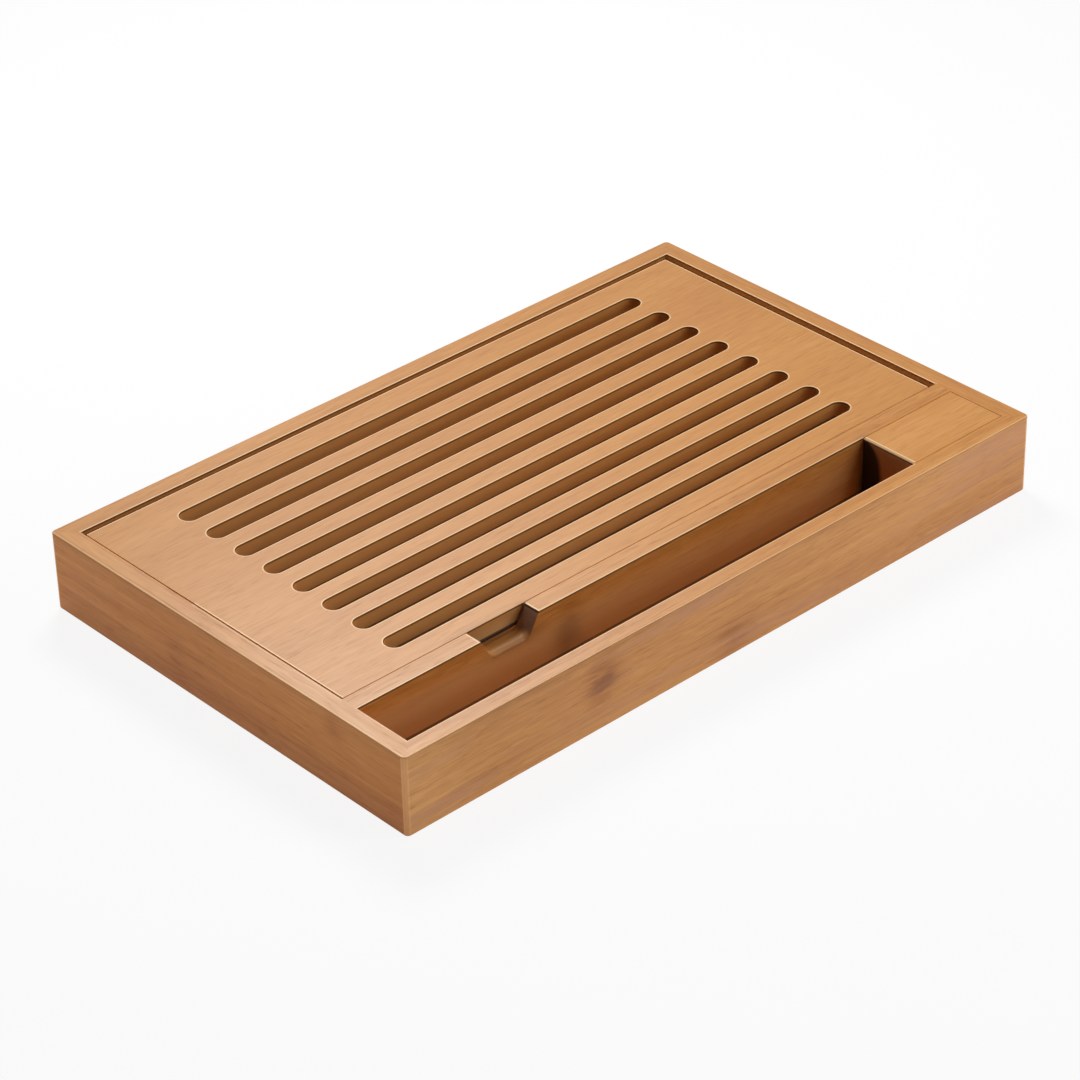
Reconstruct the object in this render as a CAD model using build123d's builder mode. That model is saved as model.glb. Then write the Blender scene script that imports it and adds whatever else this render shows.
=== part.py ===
"""Bread board with a crumb tray: a mitred bamboo tray, a knife trough and a slotted board that lifts out.

Millimetres. The origin is the middle of the footprint on the table, X runs along the long side,
Y from the knife trough in front to the back, Z up.
"""
from build123d import *
import math
import os

os.makedirs("parts", exist_ok=True)

# Tray as a whole
overall_length = 400.0
overall_width = 250.0
overall_height = 42.0
corner_radius = 2.5
side_rail_thickness = 10.0
front_rail_thickness = 9.0
back_rail_thickness = 10.5
outer_easing = 0.6
foot_easing = 1.0
rim_easing = 0.25

# Floor panel, let into a groove round the inside of the rails
floor_thickness = 5.0
floor_height = 3.0
floor_groove_depth_share = 0.5
floor_edge_clearance = 0.3

# Knife trough along the front, and the divider behind it
trough_width = 33.0
divider_thickness = 10.0

# Finger notch in the top of the divider
notch_centre_from_left_rail = 89.2
notch_top_width = 35.0
notch_depth = 10.4
notch_side_run = 6.6
notch_corner_radius = 5.0
notch_lip_radius = 2.6
notch_back_easing = 0.9
lip_turn_shares = (0.0, 0.3, 0.6, 0.8, 1.0)

# Block that fills the right end of the trough
end_block_length = 62.0
end_block_seam = 0.15
end_block_right_seam = 0.3
end_block_easing = 0.3
end_block_edge_chamfer = 0.9

# Slotted board that lifts out, pushed to the front left corner of its recess
grille_thickness = 10.0
grille_left_gap = 0.5
grille_front_gap = 0.2
grille_right_gap = 4.5
grille_back_gap = 3.4
grille_corner_radius = 0.6
grille_easing = 0.25
slot_width = 10.2
slot_bar_width = 10.65
slot_end_margin = 39.7
slot_front_margin = 12.3
least_slot_back_margin = 12.0
slot_easing = 0.35

# Ledges on the floor panel that carry the slotted board
ledge_width = 10.0
ledge_easing = 0.6

# Hidden joinery: a spline in each mitre and two dowels in each end of the divider
spline_thickness_share = 0.22
spline_width_share = 0.65
spline_end_margin = 5.0
dowel_diameter_share = 0.6
dowel_divider_depth = 12.0
dowel_rail_depth_share = 0.6
dowel_height_shares = (0.25, 0.75)
glue_clearance = 0.1

# Cutting tools reach this far past what they cut
overrun = 2.0

# Inner faces of the four rails
inner_left = -overall_length / 2 + side_rail_thickness
inner_right = overall_length / 2 - side_rail_thickness
inner_front = -overall_width / 2 + front_rail_thickness
inner_back = overall_width / 2 - back_rail_thickness

# Faces of the divider, the floor and the ledges
divider_front = inner_front + trough_width
divider_back = divider_front + divider_thickness
divider_middle = (divider_front + divider_back) / 2
floor_top = floor_height + floor_thickness
grille_underside = overall_height - grille_thickness

# Inner end of each mitre and the way it runs out, going round from the front left corner
inner_corners = [
    (inner_left, inner_front),
    (inner_right, inner_front),
    (inner_right, inner_back),
    (inner_left, inner_back),
]
mitre_directions = [(-1, -1), (1, -1), (1, 1), (-1, 1)]
corner_names = ["front_left", "front_right", "back_right", "back_left"]
rail_names = ["front_rail", "right_rail", "back_rail", "left_rail"]

# Joinery, worked out from the pieces that carry it
thinnest_rail = min(side_rail_thickness, front_rail_thickness, back_rail_thickness)
thickest_rail = max(side_rail_thickness, front_rail_thickness, back_rail_thickness)
floor_groove_depth = floor_groove_depth_share * thinnest_rail
spline_thickness = spline_thickness_share * thinnest_rail
spline_width = spline_width_share * thinnest_rail
spline_base = floor_top + spline_end_margin
spline_length = overall_height - spline_end_margin - spline_base
dowel_diameter = dowel_diameter_share * divider_thickness
dowel_rail_depth = dowel_rail_depth_share * side_rail_thickness
dowel_length = dowel_rail_depth + dowel_divider_depth


def draw_rectangle(left, right, front, back, mode=Mode.ADD):
    """Draw a rectangle by its four sides."""
    with Locations(((left + right) / 2, (front + back) / 2)):
        Rectangle(right - left, back - front, mode=mode)


def along_mitre(corner, depth):
    """Point on the line of a mitre, at a depth from the rails' inner faces."""
    return Vector(*inner_corners[corner]) + Vector(*mitre_directions[corner]) * depth


def mitre_plane(corner, height):
    """Level plane in the middle of a mitre, with X along the mitre line."""
    middle = along_mitre(corner, thinnest_rail / 2)
    direction = Vector(*mitre_directions[corner])
    return Plane(origin=(middle.X, middle.Y, height), x_dir=direction, z_dir=(0, 0, 1))


def dowel_places():
    """Middle of the two dowels of an end, in the plane of the divider's end face."""
    divider_height = overall_height - floor_top
    return [(divider_middle, floor_top + share * divider_height) for share in dowel_height_shares]


def notch_profile(depth, spread=0.0):
    """Draw the notch seen from the front: a flat floor and two sloping sides with rounded corners.

    Spread moves each side outwards.
    """
    middle = inner_left + notch_centre_from_left_rail
    top = overall_height + overrun
    floor = overall_height - depth
    floor_half = notch_top_width / 2 - notch_side_run + spread
    top_half = floor_half + notch_side_run * (depth + overrun) / depth
    profile = Polygon(
        (middle - top_half, top),
        (middle - floor_half, floor),
        (middle + floor_half, floor),
        (middle + top_half, top),
        align=None,
    )
    fillet(profile.vertices().group_by(Axis.Y)[0], radius=notch_corner_radius)


# Rails and divider as they are once glued up: the eased edges run on from piece to piece
with BuildPart() as glued_frame:
    with BuildSketch():
        RectangleRounded(overall_length, overall_width, corner_radius)
        draw_rectangle(inner_left, inner_right, divider_back, inner_back, mode=Mode.SUBTRACT)
        draw_rectangle(inner_left, inner_right, inner_front, divider_front, mode=Mode.SUBTRACT)
    extrude(amount=overall_height)

    top_face = glued_frame.faces().sort_by(Axis.Z)[-1]
    base_face = glued_frame.faces().sort_by(Axis.Z)[0]
    rims = [edge for wire in top_face.inner_wires() for edge in wire.edges()]
    fillet(top_face.outer_wire().edges(), radius=outer_easing)
    fillet(rims, radius=rim_easing)
    fillet(base_face.outer_wire().edges(), radius=foot_easing)

    # The divider stops at the floor panel, and the panel's groove runs round the rails
    with BuildSketch():
        draw_rectangle(inner_left, inner_right, inner_front, inner_back)
    extrude(amount=floor_height, mode=Mode.SUBTRACT)
    with BuildSketch(Plane.XY.offset(floor_height)):
        draw_rectangle(
            inner_left - floor_groove_depth,
            inner_right + floor_groove_depth,
            inner_front - floor_groove_depth,
            inner_back + floor_groove_depth,
        )
    extrude(amount=floor_thickness, mode=Mode.SUBTRACT)

    # Finger notch, cut straight through the divider
    with BuildSketch(Plane.XZ.offset(-divider_back - overrun)):
        notch_profile(notch_depth)
    extrude(amount=divider_thickness + overrun * 2, mode=Mode.SUBTRACT)

    # Its front lip is rounded over: deepest at the front face, and nothing at the top of the divider
    for share in lip_turn_shares:
        turn = share * math.pi / 2
        lip_y = divider_front + notch_lip_radius * (1 - math.sin(turn))
        lip_depth = notch_depth + notch_lip_radius * (1 - math.cos(turn))
        with BuildSketch(Plane.XZ.offset(-lip_y)):
            notch_profile(lip_depth)
    loft(mode=Mode.SUBTRACT)

    # Its back edge is chamfered, which lets a fingernail under the slotted board
    for reach in (0, notch_back_easing + overrun):
        with BuildSketch(Plane.XZ.offset(notch_back_easing - divider_back - reach)):
            notch_profile(notch_depth + reach, spread=reach)
    loft(mode=Mode.SUBTRACT)

    # Pockets for the mitre splines and holes for the divider's dowels
    for corner in range(len(corner_names)):
        with BuildSketch(mitre_plane(corner, spline_base)):
            Rectangle(spline_thickness + 2 * glue_clearance, spline_width + 2 * glue_clearance)
        extrude(amount=spline_length, mode=Mode.SUBTRACT)
    for end_face, into_divider in ((inner_left, 1), (inner_right, -1)):
        hole_start = end_face - into_divider * dowel_rail_depth
        with BuildSketch(Plane.YZ.offset(hole_start)):
            with Locations(*dowel_places()):
                Circle(dowel_diameter / 2 + glue_clearance)
        extrude(amount=into_divider * dowel_length, mode=Mode.SUBTRACT)

# The four rails, parted at the mitres
for side, rail_name in enumerate(rail_names):
    next_side = (side + 1) % len(rail_names)
    with BuildPart() as rail:
        add(glued_frame.part)
        with BuildSketch():
            Polygon(
                along_mitre(side, 0),
                along_mitre(side, thickest_rail + overrun),
                along_mitre(next_side, thickest_rail + overrun),
                along_mitre(next_side, 0),
                align=None,
            )
        extrude(amount=overall_height, mode=Mode.INTERSECT)
    rail.part.label = rail_name
    export_step(rail.part, f"parts/{rail_name}.step")

# Divider between the knife trough and the crumb tray
with BuildPart() as divider_rail:
    add(glued_frame.part)
    with BuildSketch():
        draw_rectangle(inner_left, inner_right, divider_front, divider_back)
    extrude(amount=overall_height, mode=Mode.INTERSECT)
divider_rail.part.label = "divider_rail"
export_step(divider_rail.part, "parts/divider_rail.step")

# Floor panel under the whole tray, its edges in the groove of the rails
panel_reach = floor_groove_depth - floor_edge_clearance
with BuildPart() as floor_panel:
    with BuildSketch(Plane.XY.offset(floor_height)):
        draw_rectangle(
            inner_left - panel_reach,
            inner_right + panel_reach,
            inner_front - panel_reach,
            inner_back + panel_reach,
        )
    extrude(amount=floor_thickness)
floor_panel.part.label = "floor_panel"
export_step(floor_panel.part, "parts/floor_panel.step")

# Block at the right end of the trough, flush with the top
end_block_left = inner_right - end_block_length
with BuildPart() as end_block:
    with BuildSketch(Plane.XY.offset(floor_top)):
        draw_rectangle(
            end_block_left,
            inner_right - end_block_right_seam,
            inner_front + end_block_seam,
            divider_front - end_block_seam,
        )
    extrude(amount=overall_height - floor_top)
    top_edges = end_block.faces().sort_by(Axis.Z)[-1].edges()
    chamfer(top_edges.sort_by(Axis.X)[0], length=end_block_edge_chamfer)
    top_edges = end_block.faces().sort_by(Axis.Z)[-1].edges()
    fillet(top_edges.sort_by(Axis.X)[1:], radius=end_block_easing)
end_block.part.label = "end_block"
export_step(end_block.part, "parts/end_block.step")

# Ledges along the left, right and back of the crumb tray
ledge_sides = {
    "left_ledge": (inner_left, inner_left + ledge_width, divider_back, inner_back),
    "right_ledge": (inner_right - ledge_width, inner_right, divider_back, inner_back),
    "back_ledge": (inner_left + ledge_width, inner_right - ledge_width, inner_back - ledge_width, inner_back),
}
for ledge_name, sides in ledge_sides.items():
    with BuildPart() as ledge:
        with BuildSketch(Plane.XY.offset(floor_top)):
            draw_rectangle(*sides)
        extrude(amount=grille_underside - floor_top)
        fillet(ledge.faces().sort_by(Axis.Z)[-1].edges(), radius=ledge_easing)
    ledge.part.label = ledge_name
    export_step(ledge.part, f"parts/{ledge_name}.step")

# Slotted board
grille_left = inner_left + grille_left_gap
grille_right = inner_right - grille_right_gap
grille_front = divider_back + grille_front_gap
grille_back = inner_back - grille_back_gap
slot_pitch = slot_width + slot_bar_width
slot_field = grille_back - grille_front - slot_front_margin - least_slot_back_margin
slot_count = 1 + int((slot_field - slot_width) / slot_pitch)
slot_length = grille_right - grille_left - 2 * slot_end_margin
slot_middle = (grille_left + grille_right) / 2
first_slot = grille_front + slot_front_margin + slot_width / 2

with BuildPart() as grille_board:
    with BuildSketch(Plane.XY.offset(grille_underside)) as grille_outline:
        draw_rectangle(grille_left, grille_right, grille_front, grille_back)
        fillet(grille_outline.vertices(), radius=grille_corner_radius)
    extrude(amount=grille_thickness)
    level_faces = grille_board.faces().filter_by(Axis.Z)
    fillet(level_faces.edges(), radius=grille_easing)
    with BuildSketch(Plane.XY.offset(grille_underside)):
        with Locations(*[(slot_middle, first_slot + slot * slot_pitch) for slot in range(slot_count)]):
            SlotOverall(slot_length, slot_width)
    extrude(amount=grille_thickness, mode=Mode.SUBTRACT)
    slot_edges = [
        edge
        for face in grille_board.faces().filter_by(Axis.Z)
        for wire in face.inner_wires()
        for edge in wire.edges()
    ]
    fillet(slot_edges, radius=slot_easing)
grille_board.part.label = "grille_board"
export_step(grille_board.part, "parts/grille_board.step")

# Splines that lock the mitres
for corner, corner_name in enumerate(corner_names):
    with BuildPart() as spline:
        with BuildSketch(mitre_plane(corner, spline_base)):
            Rectangle(spline_thickness, spline_width)
        extrude(amount=spline_length)
    spline.part.label = f"{corner_name}_spline"
    export_step(spline.part, f"parts/{corner_name}_spline.step")

# Dowels that hold the divider between the side rails
with BuildPart() as divider_dowels:
    for end_face, into_divider in ((inner_left, 1), (inner_right, -1)):
        dowel_start = end_face - into_divider * (dowel_rail_depth - glue_clearance)
        with BuildSketch(Plane.YZ.offset(dowel_start)):
            with Locations(*dowel_places()):
                Circle(dowel_diameter / 2)
        extrude(amount=into_divider * (dowel_length - 2 * glue_clearance))
divider_dowels.part.label = "divider_dowels"
export_step(divider_dowels.part, "parts/divider_dowels.step")
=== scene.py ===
"""Looks of a bamboo bread board with a crumb tray: bamboo finishes, a pale floor, soft light and the camera.

Metres. X runs along the long side, Y from the knife trough in front to the back, Z up. Places and
sizes in the finishes are in mm, and are turned into metres where a node takes them.
"""
import math

import bpy
from mathutils import Matrix, Vector

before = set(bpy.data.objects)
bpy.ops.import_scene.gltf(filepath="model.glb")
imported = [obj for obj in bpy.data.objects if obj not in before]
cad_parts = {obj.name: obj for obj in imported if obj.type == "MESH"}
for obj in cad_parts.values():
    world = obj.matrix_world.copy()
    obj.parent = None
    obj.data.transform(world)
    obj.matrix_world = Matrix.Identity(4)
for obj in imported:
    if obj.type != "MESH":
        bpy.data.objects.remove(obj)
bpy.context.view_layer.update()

MM = 0.001
# Past every piece: where a line without an end stops
FAR = 1000.0
WHITE = (1.0, 1.0, 1.0, 1.0)

# Bamboo from its palest fibres to its darkest, as places on the scale of tones and linear colours
PALE = (0.690, 0.325, 0.088, 1.0)
HONEY = (0.580, 0.245, 0.052, 1.0)
CARAMEL = (0.445, 0.165, 0.031, 1.0)
UMBER = (0.290, 0.095, 0.018, 1.0)
BAMBOO_TONES = ((0.0, PALE), (0.33, HONEY), (0.66, CARAMEL), (1.0, UMBER))
MIDDLE_TONE = 0.31
END_GRAIN_TONE = 0.42
NEUTRAL_HUE = 0.5
# Wood that the oil hardly reached, also used as painted light on inner walls; fibres rubbed pale along an
# edge, with painted highlight; the pink of a weathered face; and raw ends
DRY_AND_WALL_LIGHT = (0.700, 0.450, 0.210, 1.0)
WEAR_AND_HIGHLIGHT = (0.960, 0.640, 0.340, 1.0)
BLUSH = (0.500, 0.240, 0.140, 1.0)
RAW = (0.420, 0.260, 0.180, 1.0)
# Painted light on the sides of a narrow gap, the oil in it, a glued seam, and a painted highlight down a
# rounded corner
GAP_WALL_LIGHT = (0.900, 0.480, 0.150, 1.0)
STAIN = (0.240, 0.085, 0.012, 1.0)
SEAM = (0.580, 0.210, 0.012, 1.0)
CORNER_HIGHLIGHT = (0.950, 0.480, 0.210, 1.0)

# Textures drawn out along the fibres: scale per metre along them and across them, and the seed's factor
CLOUDS = (5.0, 26.0, 1.7)
STREAKS = (9.0, 300.0, 2.9)
FIBRES = (60.0, 1250.0, 4.1)
DASHES = (90.0, 850.0, 5.3)
GLEAMS = (70.0, 700.0, 8.7)
RAGS = (60.0, 260.0, 6.1)
PINK_STREAKS = (7.0, 90.0, 3.3)
BAND_WAVES = (22.0, 60.0, 9.1)
JOINT_WAVES = (14.0, 20.0, 9.7)
# The glued strips start at this times the seed, in mm
STRIP_SHIFT = 7.3
# Octaves of the noise
COARSE_DETAIL = 1.0
PLAIN_DETAIL = 2.0
RICH_DETAIL = 3.0
# Noise keeps near its middle, so this much stretches it to about plus and minus one
NOISE_MIDDLE = 0.5
NOISE_STRETCH = 4.0
# How far each texture moves the tone
STRIP_TONE = 0.10
CLOUD_TONE = 0.085
STREAK_TONE = 0.085
FIBRE_TONE = 0.12
DASH_TONE = 0.14
GLEAM_TONE = -0.10
# Where noise turns into a dash, a gleam or a pink streak, and how it makes a knot's outline ragged
DASH_CUT = (0.57, 0.66)
GLEAM_CUT = (0.58, 0.68)
PINK_CUT = (0.45, 0.7)
RAG_CUT = (0.25, 0.7, 0.45, 1.25)
# The fibres' wander: scale per metre along and across them, reach in mm, and the share of it that is upright
WANDER = (9.0, 30.0, 0.9, 0.6)

# Masks from the way that a surface faces, each with the value where it starts and the one where it is full.
# WALL to RIM_BELOW read how far up or down it faces, and the others how far it faces along an axis.
WALL = (0.3, 0.12)
FLAT = (0.6, 0.9)
NOT_LEVEL = (0.85, 0.65)
RIM_ABOVE = (0.35, 0.6)
RIM_BELOW = (0.985, 0.93)
END_GRAIN = (0.35, 0.9)
END_FACE = (0.5, 0.8)
INWARD = (0.25, 0.05)
CORNER_ABOVE = (0.03, 0.2)
CORNER_BELOW = (0.9, 0.8)

# Masks from heights and distances in mm, written the same way: the height of wear and painted highlight on
# eased edges, the height and reach of the painted light on the sides of gaps, and the reach of wear and
# painted highlight beside an edge, of a seam's stain and of a joint
RIM_HEIGHT = (40.2, 41.2)
GAP_HEIGHT = (40.6, 41.4)
GAP_REACH = (0.9, 0.5)
EDGE_HAIR = (0.95, 0.45)
SEAM_STAIN = (0.55, 0.28)
JOINT_REACH = (0.75, 0.2)
# Soft ends and wavy borders, in mm
LINE_STOP = 0.2
BAND_SOFTNESS = 1.2
BAND_WAVE = 2.5
JOINT_FADE = 8.0
JOINT_WAVE = 1.1
# The soft border of the painted corner shadow
SHADOW_SOFTNESS = 2.2
# Share of the gap's painted light on the walls of an open gap, below the top's edge
OPEN_GAP_SHARE = 0.40

# Satin oil finish: gloss, roughness and what adds to it, and the relief of the fibres, its height in mm
SPECULAR = 0.30
ROUGHNESS = 0.40
DASH_ROUGHNESS = 0.04
STREAK_ROUGHNESS = 0.3
DULL_ROUGHNESS = 0.5
DASH_RELIEF = -0.4
STREAK_RELIEF = 0.4
BUMP_STRENGTH = 0.5
BUMP_HEIGHT = 0.12
# Painted shade lines deeper than this share are dull too
DULL_LINE = 0.3

# Painted light on the top, brighter towards the front left: its brightness in the middle, and its change per
# metre along X and Y
TOP_BRIGHTNESS = 1.05
TOP_LIGHT_FALLOFF = (-0.60, -1.12)


def metres(values):
    """Values in mm as metres."""
    return [value * MM for value in values]


def span(node_name, axis):
    """Where a piece starts and ends along an axis, read from the frame; mm."""
    places = [vertex.co["XYZ".index(axis)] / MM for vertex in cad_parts[node_name].data.vertices]
    return round(min(places), 2), round(max(places), 2)


# Height of the board; mm
TOP = span("front_rail", "Z")[1]


class Nodes:
    """The node tree of a material or a world: each method adds nodes and returns the last one's output."""

    def __init__(self, owner):
        owner.use_nodes = True
        self.tree = owner.node_tree
        self.tree.nodes.clear()

    def node(self, kind, inputs=(), **settings):
        """Add a node, with its settings, and its inputs as pairs of socket and value."""
        made = self.tree.nodes.new(kind)
        for key, value in settings.items():
            setattr(made, key, value)
        for key, value in inputs:
            self.feed(made.inputs[key], value)
        return made

    def feed(self, socket, value):
        """Link a socket to an output, or set it to a plain value."""
        if isinstance(value, bpy.types.NodeSocket):
            self.tree.links.new(value, socket)
        else:
            socket.default_value = value

    def math(self, operation, *values):
        return self.node("ShaderNodeMath", enumerate(values), operation=operation).outputs[0]

    def add(self, *values):
        total = values[0]
        for value in values[1:]:
            total = self.math("ADD", total, value)
        return total

    def times(self, *values):
        product = values[0]
        for value in values[1:]:
            product = self.math("MULTIPLY", product, value)
        return product

    def less(self, value):
        """One minus a value."""
        return self.math("SUBTRACT", 1.0, value)

    def ramp(self, value, low, high, start=0.0, end=1.0):
        """A smooth step of a value, from start at low to end at high."""
        if low > high:
            low, high, start, end = high, low, end, start
        inputs = (("Value", value), ("From Min", low), ("From Max", high), ("To Min", start), ("To Max", end))
        return self.node("ShaderNodeMapRange", inputs, interpolation_type="SMOOTHSTEP").outputs[0]

    def vector(self, x, y, z):
        return self.node("ShaderNodeCombineXYZ", ((0, x), (1, y), (2, z))).outputs[0]

    def noise(self, vector, detail=PLAIN_DETAIL):
        """Noise between 0 and 1, centred on a half."""
        inputs = (("Vector", vector), ("Scale", 1.0), ("Detail", detail))
        return self.node("ShaderNodeTexNoise", inputs).outputs[0]

    def centred(self, vector, reach, detail=PLAIN_DETAIL):
        """Noise centred on zero, stretched to about plus and minus reach."""
        above = self.math("SUBTRACT", self.noise(vector, detail), NOISE_MIDDLE)
        return self.times(above, NOISE_STRETCH * reach)

    def colours(self, value, stops):
        """A colour ramp: stops are pairs of place and colour."""
        made = self.node("ShaderNodeValToRGB", ((0, value),))
        elements = made.color_ramp.elements
        while len(elements) < len(stops):
            elements.new(1.0)
        for element, (place, colour) in zip(elements, stops):
            element.position = place
            element.color = colour
        return made.outputs[0]

    def mix(self, share, colour, other):
        """A colour with a share of another in it."""
        return self.node("ShaderNodeMix", ((0, share), (6, colour), (7, other)), data_type="RGBA").outputs[2]

    def mix_values(self, share, value, other):
        """A value with a share of another in it."""
        return self.node("ShaderNodeMix", ((0, share), (2, value), (3, other)), data_type="FLOAT").outputs[0]

    def scale(self, colour, factor):
        """A colour made brighter or darker."""
        inputs = ((0, colour), ("Scale", factor))
        return self.node("ShaderNodeVectorMath", inputs, operation="SCALE").outputs[0]

    def seen_directly(self):
        """1 for rays from the camera, and for those that a glossy or clear surface sends on."""
        path = self.node("ShaderNodeLightPath")
        seen = path.outputs["Is Camera Ray"]
        for name in ("Is Glossy Ray", "Is Transmission Ray"):
            seen = self.math("MAXIMUM", seen, path.outputs[name])
        return seen


class Bamboo(Nodes):
    """Laminated bamboo as a solid texture, so that sides, tops and end grain belong together.

    grain is the axis that the fibres run along, and the seed shifts the textures. The colour, the
    brightness, and the masks of clean, dull and inner surfaces grow as features are added.
    """

    def __init__(self, name, grain, seed):
        self.material = bpy.data.materials.new(name)
        super().__init__(self.material)
        coordinates = self.node("ShaderNodeTexCoord")
        split = self.node("ShaderNodeSeparateXYZ", ((0, coordinates.outputs["Object"]),))
        facing = self.node("ShaderNodeSeparateXYZ", ((0, coordinates.outputs["Normal"]),))
        self.seed = seed
        self.place = [split.outputs[axis] for axis in "XYZ"]
        self.facing = {axis: facing.outputs[axis] for axis in "XYZ"}
        self.along = split.outputs[grain]
        self.level = split.outputs["Y" if grain == "X" else "X"]
        self.upright = split.outputs["Z"]
        self.steep = self.math("ABSOLUTE", self.facing["Z"])
        self.endwise = self.math("ABSOLUTE", self.facing[grain])
        self.wall = self.ramp(self.steep, *WALL)
        self.flat = self.ramp(self.facing["Z"], *FLAT)
        self.not_level = self.ramp(self.steep, *NOT_LEVEL)
        self.inner = self.wall
        self.clean = 1.0
        self.dull = 0.0
        self.stains = []
        self.colour = None
        self.brightness = 1.0

        # The fibres wander a little as they run
        along_scale, across_scale, reach, upright_share = WANDER
        wander = self.vector(self.times(self.along, along_scale), self.times(self.level, across_scale), seed)
        wander = self.centred(wander, reach * MM)
        self.level_here = self.add(self.level, wander)
        self.upright_here = self.add(self.upright, self.times(wander, upright_share))

    def tint(self, share, colour):
        """Give the colour a share of another."""
        self.colour = self.mix(share, self.colour, colour)

    def darken(self, share):
        """Take a share of the brightness away."""
        self.brightness = self.times(self.brightness, self.less(share))

    def face_out(self, axis, sign):
        """Count only walls that don't face out of the board, along an axis, as inner walls."""
        outwards = self.times(self.facing[axis], sign)
        self.inner = self.times(self.wall, self.ramp(outwards, *INWARD))

    def fibres(self, texture):
        """Coordinates for a texture that is drawn out along the fibres."""
        along_scale, across_scale, seed_factor = texture
        return self.vector(
            self.add(self.times(self.along, along_scale), self.seed * seed_factor),
            self.add(self.times(self.level_here, across_scale), self.seed),
            self.times(self.upright_here, across_scale),
        )

    def blob(self, centre, radii):
        """A soft spot: 1 at its centre, falling off within its radii; mm."""
        total = 0.0
        for value, middle, radius in zip(self.place, centre, radii):
            distance = self.times(self.add(value, -middle * MM), 1.0 / (radius * MM))
            total = self.add(self.times(distance, distance), total)
        return self.math("EXPONENT", self.times(total, -1.0))

    def line_distance(self, axis, at, low=-FAR, high=FAR):
        """Distance from a line on the top that runs across an axis, from low to high; mm."""
        across = self.math("ABSOLUTE", self.add(self.place["XYZ".index(axis)], -at * MM))
        along = self.place[1 if axis == "X" else 0]
        past = self.math("MAXIMUM", self.add(along, -high * MM), self.add(self.times(along, -1.0), low * MM))
        return self.math("MAXIMUM", across, past)

    def slot_distance(self, first, pitch, count, middle, straight, radius):
        """Distance from the outline of the nearest of a row of round-ended slots; mm."""
        x, y = self.place[:2]
        row = self.math("DIVIDE", self.add(y, -first * MM), pitch * MM)
        row = self.math("MINIMUM", self.math("MAXIMUM", self.math("ROUND", row), 0.0), count - 1.0)
        across = self.add(y, self.times(row, -pitch * MM), -first * MM)
        past = self.math("ABSOLUTE", self.add(x, -middle * MM))
        past = self.math("MAXIMUM", self.add(past, -straight / 2 * MM), 0.0)
        reach = self.math("SQRT", self.add(self.times(across, across), self.times(past, past)))
        return self.math("ABSOLUTE", self.add(reach, -radius * MM))

    def strips(self, strip, layer):
        """A tone for each glued strip, from its size level across the fibres and upright; mm."""
        strip_count = self.math("DIVIDE", self.add(self.level, self.seed * STRIP_SHIFT * MM), strip * MM)
        layer_count = self.math("DIVIDE", self.upright, layer * MM)
        cell = self.vector(self.math("FLOOR", strip_count), self.math("FLOOR", layer_count), self.seed)
        tone = self.node("ShaderNodeTexWhiteNoise", (("Vector", cell),)).outputs["Value"]
        return self.times(self.math("SUBTRACT", tone, NOISE_MIDDLE), STRIP_TONE)

    def knots(self, knots):
        """The tone of the soft dark rings where the cane had its joints."""
        ragged = self.ramp(self.noise(self.fibres(RAGS)), *RAG_CUT)
        tone = 0.0
        for centre, radii, depth in knots:
            tone = self.add(self.times(self.blob(centre, radii), ragged, depth), tone)
        return tone

    def foot(self, height, depth):
        """The tone of a darker foot of the walls, with a wavy border."""
        border = self.centred(self.fibres(BAND_WAVES), BAND_WAVE * MM, RICH_DETAIL)
        border = self.add(self.upright, border)
        border = self.ramp(border, (height + BAND_SOFTNESS) * MM, (height - BAND_SOFTNESS) * MM)
        return self.times(border, self.wall, depth)

    def joint(self, height, depth, low, high):
        """The tone of a thin glued joint in the walls, from low to high along the fibres."""
        joint = self.centred(self.fibres(JOINT_WAVES), JOINT_WAVE * MM)
        joint = self.math("ABSOLUTE", self.add(self.upright, joint, -height * MM))
        joint = self.ramp(joint, *metres(JOINT_REACH))
        for end, fade in ((low, JOINT_FADE), (high, -JOINT_FADE)):
            joint = self.times(joint, self.ramp(self.along, (end - fade) * MM, (end + fade) * MM))
        return self.times(joint, self.wall, depth)

    def pink_streaks(self, most):
        """Weathered streaks on the walls."""
        streaks = self.noise(self.fibres(PINK_STREAKS), RICH_DETAIL)
        self.tint(self.times(self.ramp(streaks, *PINK_CUT, 0.0, most), self.wall), BLUSH)

    def paint_wall_light(self, first, second, top, bottom):
        """Painted light: inner walls made paler between two heights, by shares at two places along the
        fibres.
        """
        (start, start_share), (end, end_share) = first, second
        share = self.ramp(self.along, start * MM, end * MM, start_share, end_share)
        height = self.ramp(self.upright, top * MM, bottom * MM)
        self.tint(self.times(share, height, self.inner), DRY_AND_WALL_LIGHT)

    def gap(self, colour, share, *line):
        """Painted light on the sides of a gap or seam. What is in it waits in stains, to lie over the edges'
        wear.
        """
        distance = self.line_distance(*line)
        near = self.ramp(distance, *metres(GAP_REACH))
        self.not_level = self.times(self.not_level, self.less(near))
        least = 0.0 if share else OPEN_GAP_SHARE
        self.tint(self.times(near, self.wall, self.ramp(self.upright, *metres(GAP_HEIGHT), least, 1.0)), GAP_WALL_LIGHT)
        if share:
            stain = self.times(self.ramp(distance, *metres(SEAM_STAIN)), self.less(self.wall))
            self.clean = self.times(self.clean, self.less(stain))
            self.stains.append((self.times(stain, share), colour))

    def paint_shade_line(self, start, end, depth, stop=None):
        """Painted shade on the walls, from one height to another, and no higher than stop."""
        line = self.times(self.ramp(self.upright, start * MM, end * MM), self.not_level)
        if stop:
            line = self.times(line, self.ramp(self.upright, (stop + LINE_STOP) * MM, stop * MM))
        self.darken(self.times(line, depth))
        self.clean = self.times(self.clean, self.less(line))
        if depth > DULL_LINE:
            self.dull = self.math("MAXIMUM", self.dull, line)

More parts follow.
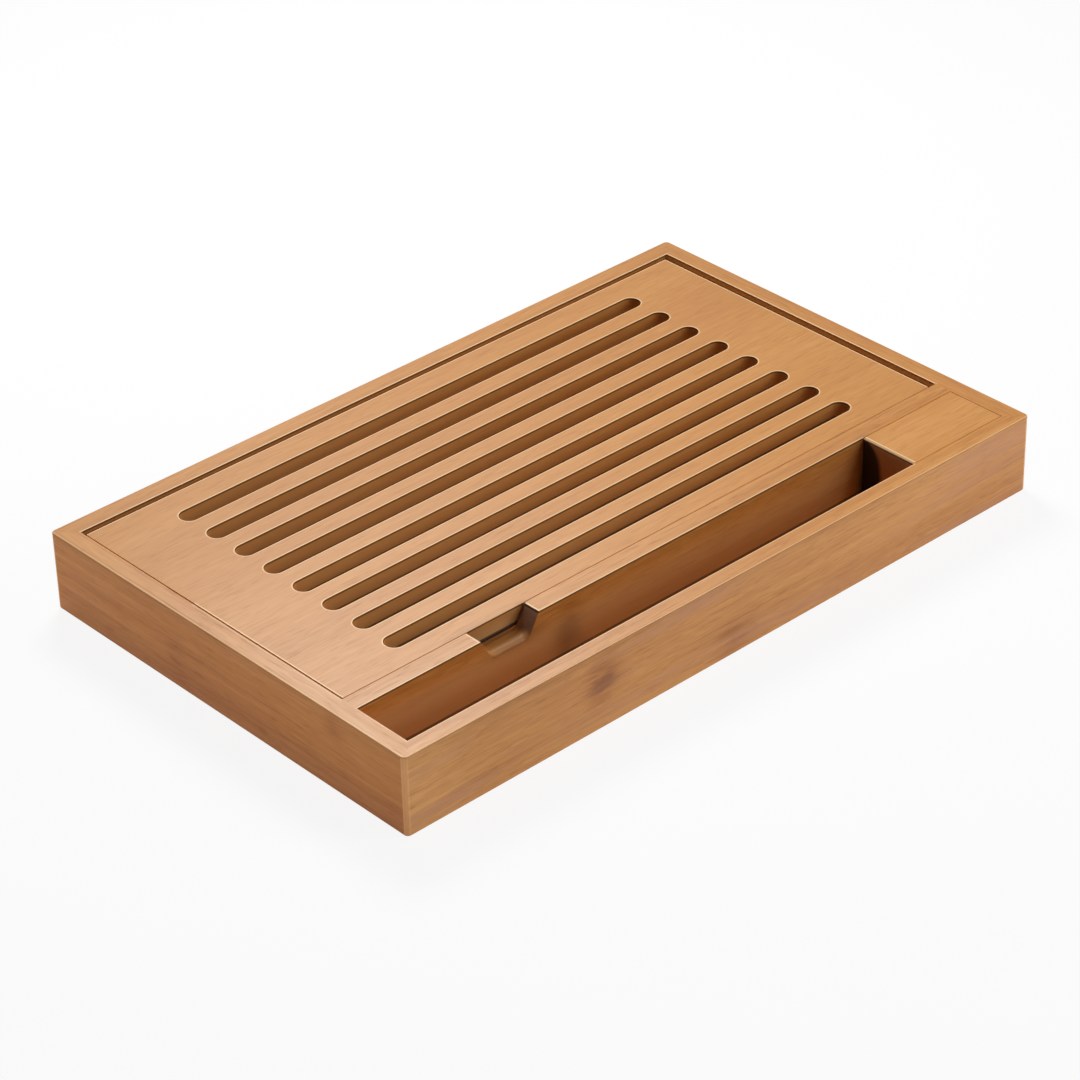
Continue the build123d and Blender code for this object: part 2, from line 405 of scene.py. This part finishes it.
    def paint_edge_wear_and_highlight(self, rim, edges, slots, edge_wear_and_highlight):
        """Eased edges at the top are pale with wear and painted highlight, and so is a hair's breadth of the
        top beside them.
        """
        high = self.ramp(self.upright, *metres(RIM_HEIGHT))
        rubbed_and_lit = self.times(self.ramp(self.steep, *RIM_ABOVE), self.ramp(self.steep, *RIM_BELOW), high, rim)
        beside = [self.line_distance(*line) for line in edges]
        if slots:
            beside.append(self.slot_distance(**slots))
        for distance in beside:
            hair = self.times(self.ramp(distance, *metres(EDGE_HAIR)), self.flat, edge_wear_and_highlight)
            rubbed_and_lit = self.math("MAXIMUM", rubbed_and_lit, hair)
        self.tint(self.times(rubbed_and_lit, self.clean), WEAR_AND_HIGHLIGHT)

    def paint_corner_highlight(self, axis, share):
        """A painted highlight: a lighter strip down the rounded corner that turns to an axis."""
        turned = self.math("ABSOLUTE", self.facing[axis])
        turned = self.times(self.ramp(turned, *CORNER_ABOVE), self.ramp(turned, *CORNER_BELOW))
        self.tint(self.times(turned, self.wall, share), CORNER_HIGHLIGHT)

    def paint_top_light(self):
        """Painted light on the top: brighter towards the front left."""
        by_x = self.times(self.place[0], TOP_LIGHT_FALLOFF[0])
        by_y = self.times(self.place[1], TOP_LIGHT_FALLOFF[1])
        change = self.times(self.add(by_x, by_y, TOP_BRIGHTNESS - 1.0), self.flat)
        self.brightness = self.times(self.brightness, self.add(change, 1.0))

    def light_inner_walls(self, middle, change):
        """Painted light and shade on the inner walls: brightness in the middle, and its change per metre
        along the fibres.
        """
        bright = self.mix_values(self.inner, 1.0, self.add(self.times(self.along, change), middle))
        self.brightness = self.times(self.brightness, bright)

    def paint_corner_shadow(self, corner, reach, opening, share):
        """Painted shadow on the walls past a border that starts at the corner's top and widens by reach below
        it.
        """
        height = self.times(self.add(self.upright, -TOP * MM), 1.0 / (opening * MM))
        height = self.math("EXPONENT", height)
        border = self.add(self.times(self.less(height), -reach * MM), corner * MM)
        inside = self.add(self.level, self.times(border, -1.0))
        self.darken(self.times(self.ramp(inside, *metres((-SHADOW_SOFTNESS, SHADOW_SOFTNESS))), self.wall, share))


def bamboo(
    name,
    grain,
    seed,
    strip=20.0,
    layer=21.0,
    fine=1.0,
    streaky=1.0,
    cloudy=1.0,
    tone=0.0,
    end_tone=END_GRAIN_TONE,
    knots=(),
    band=None,
    glue=(),
    saturation=1.0,
    hue=0.0,
    outward=None,
    blush=0.0,
    painted_wall_light=None,
    raw_end=0.0,
    gaps=(),
    lines=(),
    rim=0.8,
    edges=(),
    slots=None,
    edge_wear_and_highlight=0.85,
    corner=None,
    inner_light=None,
    wedge=None,
    shades=(),
):
    """The finish of one piece, feature by feature; places and sizes in mm.

    strip and layer are the size of the glued strips across the fibres, level and upright. fine,
    streaky and cloudy strengthen the textures. tone above zero is darker, and end_tone is what end
    grain adds. A knot is its centre, its radii and its tone. band is a darker foot of the walls,
    its height and tone. glue lists thin joints in the walls: height, tone, start and stop along
    the fibres. saturation and hue change the walls only. outward is the side that faces out.
    blush is the most of the pink in weathered streaks. dry is a share at two places along the
    fibres, and the two heights between which it comes in; it is painted light, which makes inner walls
    paler. raw_end is the share of raw colour on end faces. gaps lists narrow gaps and seams: the
    colour in them, its share, which is 0 for an open gap, and the line; their sides get painted
    light. lines are painted shade, which darkens walls from one height to another. rim is the share
    of wear and painted highlight on eased edges. edges are lines on the top that get wear and painted
    highlight beside the edge, slots is a row of slots that get them all round, and edge_wear_and_highlight is
    the share of both. corner is the axis that the rounded corner turns to, and the share of its painted
    highlight. inner_light is painted light and shade on the inner walls, and its change. wedge is a
    painted shadow in a corner: its place at the top, how far it widens and in which height, and its
    share. A shade is like a knot, and darkens by its share; most are painted shade, and the rest are
    stains and a slightly darker top.
    """
    wood = Bamboo(name, grain, seed)
    if outward:
        wood.face_out(*outward)

    # Broad clouds, long streaks, fine fibres, the short dark dashes of the vessels and pale gleams
    cloud = wood.centred(wood.fibres(CLOUDS), CLOUD_TONE * cloudy)
    streak = wood.centred(wood.fibres(STREAKS), STREAK_TONE * streaky, RICH_DETAIL)
    fibre = wood.centred(wood.fibres(FIBRES), FIBRE_TONE * fine)
    dash = wood.ramp(wood.noise(wood.fibres(DASHES), COARSE_DETAIL), *DASH_CUT)
    dash_tone = wood.times(dash, DASH_TONE * fine)
    gleam = wood.ramp(wood.noise(wood.fibres(GLEAMS), COARSE_DETAIL), *GLEAM_CUT)
    gleam_tone = wood.times(gleam, GLEAM_TONE * fine)

    # End grain drinks more oil and is darker
    end_grain = wood.ramp(wood.endwise, *END_GRAIN, 0.0, end_tone)
    tones = [wood.strips(strip, layer), cloud, streak, fibre, dash_tone, gleam_tone, wood.knots(knots)]
    tones += [end_grain, MIDDLE_TONE + tone]
    if band:
        tones.append(wood.foot(*band))
    for joint in glue:
        tones.append(wood.joint(*joint))
    wood.colour = wood.colours(wood.add(*tones), BAMBOO_TONES)
    if saturation != 1.0 or hue != 0.0:
        inputs = (("Hue", NEUTRAL_HUE + hue), ("Saturation", saturation), ("Fac", wood.wall))
        wood.colour = wood.node("ShaderNodeHueSaturation", (*inputs, ("Color", wood.colour))).outputs[0]

    # Weather and wear, with painted light, shade and highlights
    if blush:
        wood.pink_streaks(blush)
    # Painted light: paler inner walls
    if painted_wall_light:
        wood.paint_wall_light(*painted_wall_light)
    if raw_end:
        wood.tint(wood.ramp(wood.endwise, *END_FACE, 0.0, raw_end), RAW)
    # Painted light on the sides of gaps, and the oil in them
    for gap in gaps:
        wood.gap(*gap)
    # Painted shade on the walls
    for line in lines:
        wood.paint_shade_line(*line)
    # Wear and painted highlight on eased edges and beside them
    wood.paint_edge_wear_and_highlight(rim, edges, slots, edge_wear_and_highlight)
    for stain, colour in wood.stains:
        wood.tint(stain, colour)
    # Painted highlight down a rounded corner
    if corner:
        wood.paint_corner_highlight(*corner)

    # Brightness: painted light and shade, and some stains
    # Painted light on the top
    wood.paint_top_light()
    # Painted light and shade on the inner walls
    if inner_light:
        wood.light_inner_walls(*inner_light)
    # Painted shadow in a corner
    if wedge:
        wood.paint_corner_shadow(*wedge)
    # Soft dark spots: mostly painted shade, and some stains
    for centre, radii, depth in shades:
        wood.darken(wood.times(wood.blob(centre, radii), depth))

    # Satin oil finish: the fibres stand up a little, and the dashes are open and dull
    relief = wood.add(fibre, wood.times(dash_tone, DASH_RELIEF), wood.times(streak, STREAK_RELIEF))
    inputs = (("Strength", BUMP_STRENGTH), ("Distance", BUMP_HEIGHT * MM), ("Height", relief))
    bump = wood.node("ShaderNodeBump", inputs).outputs["Normal"]
    roughness = wood.add(
        wood.times(dash, DASH_ROUGHNESS),
        wood.times(streak, STREAK_ROUGHNESS),
        wood.times(wood.dull, DULL_ROUGHNESS),
        ROUGHNESS,
    )
    inputs = (
        ("Base Color", wood.scale(wood.colour, wood.brightness)),
        ("Roughness", roughness),
        ("Normal", bump),
        ("Specular IOR Level", SPECULAR),
    )
    surface = wood.node("ShaderNodeBsdfPrincipled", inputs).outputs[0]
    wood.node("ShaderNodeOutputMaterial", (("Surface", surface),))
    return wood.material


# Faces of the pieces, read from the frame; mm
FRONT_OUTER, FRONT_INNER = span("front_rail", "Y")
LEFT_OUTER, LEFT_INNER = span("left_rail", "X")
RIGHT_INNER = span("right_rail", "X")[0]
BACK_INNER = span("back_rail", "Y")[0]
BLOCK_LEFT = span("end_block", "X")[0]
DIVIDER_FRONT, DIVIDER_BACK = span("divider_rail", "Y")
BOARD_LEFT, BOARD_RIGHT = span("grille_board", "X")
BOARD_FRONT, BOARD_BACK = span("grille_board", "Y")

# Marks that lie a little beside those faces; mm
BOARD_LEFT_STAIN = BOARD_LEFT - 0.3
# Marks named for wear are lines of wear and painted highlight on the top
BOARD_LEFT_WEAR_HIGHLIGHT = BOARD_LEFT + 0.1
LEFT_RAIL_WEAR_HIGHLIGHT = LEFT_INNER - 0.45
LEFT_OUTER_WEAR_HIGHLIGHT = LEFT_OUTER + 0.4
FRONT_OUTER_WEAR_HIGHLIGHT = FRONT_OUTER - 0.1
TROUGH_WEAR_HIGHLIGHT_END = BLOCK_LEFT - 0.4
SEAM_START = BLOCK_LEFT + 0.4
BLOCK_WEAR_HIGHLIGHT = BLOCK_LEFT + 0.9
BLOCK_SEAM_START = BLOCK_LEFT + 1.0

# The finger notch, and wear and painted highlight at its upper corners; mm
NOTCH_LEFT = -118.0
NOTCH_RIGHT = -83.0
NOTCH_LEFT_WEAR_HIGHLIGHT = -118.5
NOTCH_RIGHT_WEAR_HIGHLIGHT = -83.1

# Places along the board's left side, in mm: the gap is oily up to the first and less so up to the second, and
# dry behind it. The edges beside the gap get wear and painted highlight up to the third.
OILY_END = 5.0
OIL_END = 50.0
LEFT_WEAR_HIGHLIGHT_END = 30.0

# Painted shade: dark lines under every rim, at the slots' lower edges, and at the foot of the trough, each
# from one height to another in mm, and its depth as a share
UNDER_RIM = (40.7, 41.3, 0.72)
SLOT_FOOT = (34.5, 33.7, 0.75)
TROUGH_FOOT = (13.0, 12.3, 0.65)

# The slotted board's slots; mm
SLOTS = dict(first=-55.4, pitch=20.85, count=8, middle=-2.0, straight=285.4, radius=5.1)


def front_gap(at):
    """The tight gap between the divider and the board, on both sides of the notch."""
    return (STAIN, 0.15, "Y", at, -FAR, NOTCH_LEFT), (STAIN, 0.15, "Y", at, NOTCH_RIGHT, FAR)


def left_gap(at, start):
    """The oily gap between the left rail and the board."""
    return (
        (STAIN, 0.75, "X", at, start, OILY_END),
        (STAIN, 0.50, "X", at, OILY_END, OIL_END),
        (DRY_AND_WALL_LIGHT, 0.60, "X", at, OIL_END, FAR),
    )


def seam(axis, at, start=-FAR, end=FAR):
    """A glued seam in the top."""
    return (SEAM, 0.8, axis, at, start, end)


# Finish of each piece. The knots lie where the photograph shows them.
finishes = {
    "grille_board": dict(
        grain="X",
        seed=3.0,
        strip=18.0,
        layer=30.0,
        streaky=0.6,
        cloudy=0.7,
        fine=0.85,
        # Painted shade at the slots' rims and feet
        lines=(UNDER_RIM, SLOT_FOOT),
        # Painted light: paler lower walls, and the inner walls' brightness
        painted_wall_light=((-140.0, 0.78), (140.0, 0.28), 43.5, 34.5),
        inner_light=(1.09, -0.30),
        # Wear and painted highlight beside the top's edges and round the slots
        edges=(("X", BOARD_RIGHT), ("Y", BOARD_BACK), ("X", BOARD_LEFT_WEAR_HIGHLIGHT, -FAR, LEFT_WEAR_HIGHLIGHT_END)),
        # Painted light on the sides of the gaps, and the oil in them
        gaps=(
            *front_gap(BOARD_FRONT),
            *left_gap(BOARD_LEFT_STAIN, -FAR),
            (None, 0.0, "X", BOARD_RIGHT),
            (None, 0.0, "Y", BOARD_BACK),
        ),
        slots=SLOTS,
        # Painted shade on the face seen through the notch, and a painted shadow line at its foot
        shades=(
            ((NOTCH_LEFT, BOARD_FRONT, 37.0), (12.0, 3.0, 8.0), 0.3),
            ((-97.0, BOARD_FRONT, 38.0), (22.0, 2.0, 9.0), 0.16),
            ((-100.0, BOARD_FRONT, 32.4), (24.0, 2.0, 1.1), 0.9),
        ),
    ),
    "front_rail": dict(
        grain="X",
        seed=11.0,
        strip=5.0,
        tone=0.07,
        end_tone=0.0,
        streaky=1.6,
        cloudy=2.0,
        blush=0.6,
        saturation=0.95,
        knots=(
            ((-84.0, FRONT_OUTER, 25.0), (10.0, 8.0, 10.0), 0.6),
            ((-2.0, FRONT_OUTER, 8.0), (14.0, 8.0, 12.0), 0.3),
            ((-198.0, FRONT_OUTER, 20.0), (30.0, 8.0, 50.0), -0.35),
        ),
        # Painted shade under the rim and down the upper wall
        lines=((41.0, 41.4, 0.15), (34.0, 40.0, 0.09)),
        glue=((18.5, 0.18, -34.0, 14.0), (19.5, 0.20, 150.0, 205.0), (21.5, 0.16, -205.0, -165.0)),
        # Wear and painted highlight on the eased edges and beside them
        rim=0.65,
        edges=(("Y", FRONT_INNER, -FAR, TROUGH_WEAR_HIGHLIGHT_END), ("Y", FRONT_OUTER_WEAR_HIGHLIGHT)),
        # Painted light on the seam's sides
        gaps=(seam("Y", FRONT_INNER, SEAM_START, RIGHT_INNER),),
        edge_wear_and_highlight=0.6,
        outward=("Y", -1.0),
        # Painted highlight down the rounded corner
        corner=("X", 0.5),
    ),
    "back_rail": dict(
        grain="X",
        seed=17.0,
        strip=5.5,
        tone=0.02,
        end_tone=0.0,
        # Painted shade under the rim and in the gap
        lines=(UNDER_RIM, (40.0, 39.4, 0.5)),
        # Painted light on the inner walls
        painted_wall_light=((-190.0, 0.35), (190.0, 0.15), 43.0, 42.0),
        inner_light=(0.90, 0.0),
        # Wear and painted highlight beside the inner edge
        edges=(("Y", BACK_INNER),),
        outward=("Y", 1.0),
    ),
    "left_rail": dict(
        grain="Y",
        seed=23.0,
        strip=5.0,
        tone=0.02,
        end_tone=0.0,
        streaky=2.2,
        cloudy=2.0,
        hue=-0.008,
        saturation=1.05,
        knots=(
            ((LEFT_OUTER, -78.0, 35.0), (8.0, 6.0, 8.0), 0.30),
            ((LEFT_OUTER, 33.0, 17.0), (8.0, 6.0, 9.0), 0.28),
        ),
        # Slightly darker on the top near the front
        shades=(((-195.0, -75.0, 42.0), (8.0, 50.0, 2.0), 0.05),),
        band=(14.0, 0.12),
        # Painted shade down the upper wall
        lines=((34.0, 40.0, 0.06),),
        glue=((23.0, 0.22, -60.0, 36.0),),
        # Wear and painted highlight on the eased edges and beside them
        rim=0.6,
        edges=(
            ("X", LEFT_INNER, FRONT_INNER, DIVIDER_FRONT),
            ("X", LEFT_RAIL_WEAR_HIGHLIGHT, DIVIDER_BACK, LEFT_WEAR_HIGHLIGHT_END),
            ("X", LEFT_OUTER_WEAR_HIGHLIGHT),
        ),
        gaps=left_gap(LEFT_INNER, DIVIDER_BACK),
        edge_wear_and_highlight=0.40,
        outward=("X", -1.0),
        # Painted highlight down the rounded corner
        corner=("Y", 0.8),
    ),
    "right_rail": dict(
        grain="Y",
        seed=29.0,
        strip=5.0,
        tone=0.02,
        end_tone=0.0,
        # Painted shade in the gap
        lines=((40.9, 41.4, 0.25), (39.4, 38.6, 0.6)),
        # Painted light on the inner wall
        painted_wall_light=((-100.0, 0.9), (120.0, 0.9), 41.3, 40.6),
        inner_light=(1.35, 0.0),
        # Wear and painted highlight beside the inner edge
        edges=(("X", RIGHT_INNER, DIVIDER_BACK, FAR),),
        # Painted light on the seam's sides
        gaps=(seam("X", RIGHT_INNER, FRONT_INNER, DIVIDER_BACK),),
        outward=("X", 1.0),
    ),
    "divider_rail": dict(
        grain="X",
        seed=37.0,
        strip=5.0,
        tone=0.01,
        streaky=1.6,
        fine=1.3,
        cloudy=1.3,
        # Painted shade under the rim, down the wall and at the trough's foot
        lines=(UNDER_RIM, (33.0, 39.5, 0.14), TROUGH_FOOT),
        # Painted light: paler lower walls
        painted_wall_light=((-180.0, 0.85), (90.0, 0.48), 39.0, 23.0),
        # Painted light on the inner walls, darker towards the block
        inner_light=(1.03, -0.75),
        knots=(((-63.0, DIVIDER_FRONT, 14.0), (7.0, 8.0, 16.0), 1.5),),
        shades=(
            # A stain beside the notch
            ((-68.0, DIVIDER_FRONT, 20.0), (8.0, 3.0, 12.0), 0.30),
            # Painted shade on the notch's floor and lip
            ((-89.0, -80.5, 32.0), (11.0, 5.0, 4.0), 0.38),
            ((-105.0, -82.0, 31.5), (12.0, 3.5, 3.0), 0.22),
            # Slightly darker on the left of the top
            ((-160.0, -78.0, 42.0), (45.0, 6.0, 2.0), 0.05),
            # Painted shade in the trough's corner by the block
            ((BLOCK_LEFT, DIVIDER_FRONT, 18.0), (8.0, 3.0, 18.0), 0.35),
            ((128.5, DIVIDER_FRONT, 14.0), (3.0, 3.0, 24.0), 0.7),
            # Painted shadow lines along the notch's back edges, where the board meets it
            ((-86.0, -73.2, 37.0), (6.0, 0.8, 8.0), 0.85),
            ((-100.0, -73.4, 31.6), (18.0, 1.2, 1.5), 0.8),
        ),
        # Wear and painted highlight beside the trough's edge and the notch's corners
        edges=(("Y", DIVIDER_FRONT, -FAR, TROUGH_WEAR_HIGHLIGHT_END), ("X", NOTCH_LEFT_WEAR_HIGHLIGHT), ("X", NOTCH_RIGHT_WEAR_HIGHLIGHT)),
        edge_wear_and_highlight=0.7,
        # Painted light on the sides of the gaps and the seam
        gaps=(*front_gap(DIVIDER_BACK), seam("Y", DIVIDER_FRONT, SEAM_START, RIGHT_INNER)),
        raw_end=0.6,
    ),
    "end_block": dict(
        grain="X",
        seed=41.0,
        strip=16.0,
        tone=-0.08,
        fine=0.85,
        end_tone=0.36,
        # Wear and painted highlight on the chamfer and beside it
        rim=0.75,
        # Painted shade below the chamfer
        lines=((40.3, 40.8, 0.8, 41.25),),
        edges=(("X", BLOCK_WEAR_HIGHLIGHT),),
        # Painted light on the seams' sides
        gaps=(
            seam("Y", DIVIDER_FRONT, BLOCK_SEAM_START),
            seam("Y", FRONT_INNER, BLOCK_SEAM_START),
            seam("X", RIGHT_INNER),
        ),
        raw_end=0.35,
        # A painted shadow in the corner by the divider, as cast by the divider's top edge
        wedge=(-84.3, 11.0, 5.0, 0.95),
    ),
    "floor_panel": dict(grain="X", seed=47.0, strip=20.0, layer=30.0, tone=0.06),
    "left_ledge": dict(grain="Y", seed=53.0, strip=10.0, layer=30.0, tone=0.04),
    "right_ledge": dict(grain="Y", seed=59.0, strip=10.0, layer=30.0, tone=-0.15),
    "back_ledge": dict(grain="X", seed=61.0, strip=10.0, layer=30.0, tone=-0.10),
    "front_left_spline": dict(grain="Z", seed=67.0, tone=-0.12),
    "front_right_spline": dict(grain="Z", seed=68.0, tone=-0.12),
    "back_right_spline": dict(grain="Z", seed=69.0, tone=-0.12),
    "back_left_spline": dict(grain="Z", seed=70.0, tone=-0.12),
    "divider_dowels": dict(grain="X", seed=71.0, tone=-0.12),
}
for node_name, finish in finishes.items():
    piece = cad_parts[node_name]
    piece.data.materials.clear()
    piece.data.materials.append(bamboo(f"bamboo_{node_name}", **finish))


# Light that reaches the object from all around
AMBIENT = 0.02


def studio_world():
    """White where it is seen, and a dimmer even light on the object."""
    world = bpy.data.worlds.new("studio")
    world.cycles.sampling_method = "NONE"
    nodes = Nodes(world)
    dim = nodes.node("ShaderNodeBackground", (("Color", WHITE), ("Strength", AMBIENT))).outputs[0]
    white = nodes.node("ShaderNodeBackground", (("Color", WHITE), ("Strength", 1.0))).outputs[0]
    either = nodes.node("ShaderNodeMixShader", ((0, nodes.seen_directly()), (1, dim), (2, white))).outputs[0]
    nodes.node("ShaderNodeOutputWorld", (("Surface", either),))
    return world


# The floor: half its width in metres, how white it is where it is seen, and the range of its pale grey
FLOOR_REACH = 8.0
FLOOR_WHITE_SHARE = 0.9
FLOOR_TONES = ((0.0, (0.83, 0.83, 0.83, 1.0)), (1.0, (0.87, 0.87, 0.87, 1.0)))


def studio_floor():
    """Nearly white where it is seen, with the object's soft shadow kept."""
    material = bpy.data.materials.new("floor")
    material.cycles.emission_sampling = "NONE"
    nodes = Nodes(material)
    seen = nodes.seen_directly()
    grain = nodes.noise(nodes.node("ShaderNodeTexCoord").outputs["Object"], RICH_DETAIL)
    shown = nodes.mix(seen, nodes.colours(grain, FLOOR_TONES), WHITE)
    matt = nodes.node("ShaderNodeBsdfDiffuse", (("Color", shown),)).outputs[0]
    glow = nodes.node("ShaderNodeEmission", (("Strength", 1.0),)).outputs[0]
    inputs = ((0, nodes.times(seen, FLOOR_WHITE_SHARE)), (1, matt), (2, glow))
    surface = nodes.node("ShaderNodeMixShader", inputs).outputs[0]
    nodes.node("ShaderNodeOutputMaterial", (("Surface", surface),))

    mesh = bpy.data.meshes.new("floor")
    corners = [(x * FLOOR_REACH, y * FLOOR_REACH, 0.0) for x, y in ((-1, -1), (1, -1), (1, 1), (-1, 1))]
    mesh.from_pydata(corners, [], [range(len(corners))])
    mesh.materials.append(material)
    plane = bpy.data.objects.new("floor", mesh)
    bpy.context.scene.collection.objects.link(plane)
    return plane


bpy.context.scene.world = studio_world()
floor = studio_floor()


def softbox(name, place, target, width, height, radiance):
    """A rectangular lamp of even brightness, turned to its target: radiance 1 looks white."""
    lamp = bpy.data.lights.new(name, "AREA")
    lamp.shape = "RECTANGLE"
    lamp.size = width
    lamp.size_y = height
    lamp.energy = radiance * math.pi * width * height
    holder = bpy.data.objects.new(name, lamp)
    bpy.context.scene.collection.objects.link(holder)
    holder.location = place
    holder.rotation_euler = (Vector(target) - Vector(place)).to_track_quat("-Z", "Y").to_euler()


# Soft lamps: a key behind on the right, two in front on the right, and low strips in front and on the left
BOARD_LEFT_FRONT = (-0.15, -0.05, 0.04)
MIDDLE = (0.0, 0.0, 0.02)
softbox("key", place=(0.272, 0.474, 0.756), target=BOARD_LEFT_FRONT, width=0.35, height=0.35, radiance=19.2)
softbox("front_high", place=(0.75, -1.04, 1.3), target=MIDDLE, width=0.4, height=0.4, radiance=6.75)
softbox("front_mid", place=(0.9, -1.3, 0.55), target=MIDDLE, width=0.8, height=0.8, radiance=4.3)
softbox("front_strip", place=(0.6, -1.8, 0.07), target=MIDDLE, width=1.6, height=0.12, radiance=14.4)
softbox("left_strip", place=(-1.9, 0.2, 0.07), target=MIDDLE, width=1.6, height=0.12, radiance=15.8)


# Camera, at the photograph's angle; the lens and its sensor in mm
CAMERA_TARGET = Vector((-0.0214, -0.0161, 0.021))
CAMERA_DISTANCE = 1.7656
CAMERA_AZIMUTH = math.radians(-41.965)
CAMERA_ELEVATION = math.radians(32.851)
CAMERA_ROLL = math.radians(1.484)
CAMERA_LENS = 125.2
CAMERA_SENSOR = 36.0
camera_data = bpy.data.cameras.new("camera")
camera_data.lens = CAMERA_LENS
camera_data.sensor_width = CAMERA_SENSOR
camera = bpy.data.objects.new("camera", camera_data)
bpy.context.scene.collection.objects.link(camera)
bpy.context.scene.camera = camera
level_reach = math.cos(CAMERA_ELEVATION)
camera_back = Vector(
    (
        math.sin(CAMERA_AZIMUTH) * level_reach,
        -math.cos(CAMERA_AZIMUTH) * level_reach,
        math.sin(CAMERA_ELEVATION),
    )
)
upright_view = (-camera_back).to_track_quat("-Z", "Y").to_matrix()
camera.matrix_world = Matrix.LocRotScale(
    CAMERA_TARGET + camera_back * CAMERA_DISTANCE,
    (upright_view @ Matrix.Rotation(-CAMERA_ROLL, 3, "Z")).to_quaternion(),
    None,
)

# Plain studio output
bpy.context.scene.view_settings.view_transform = "Standard"
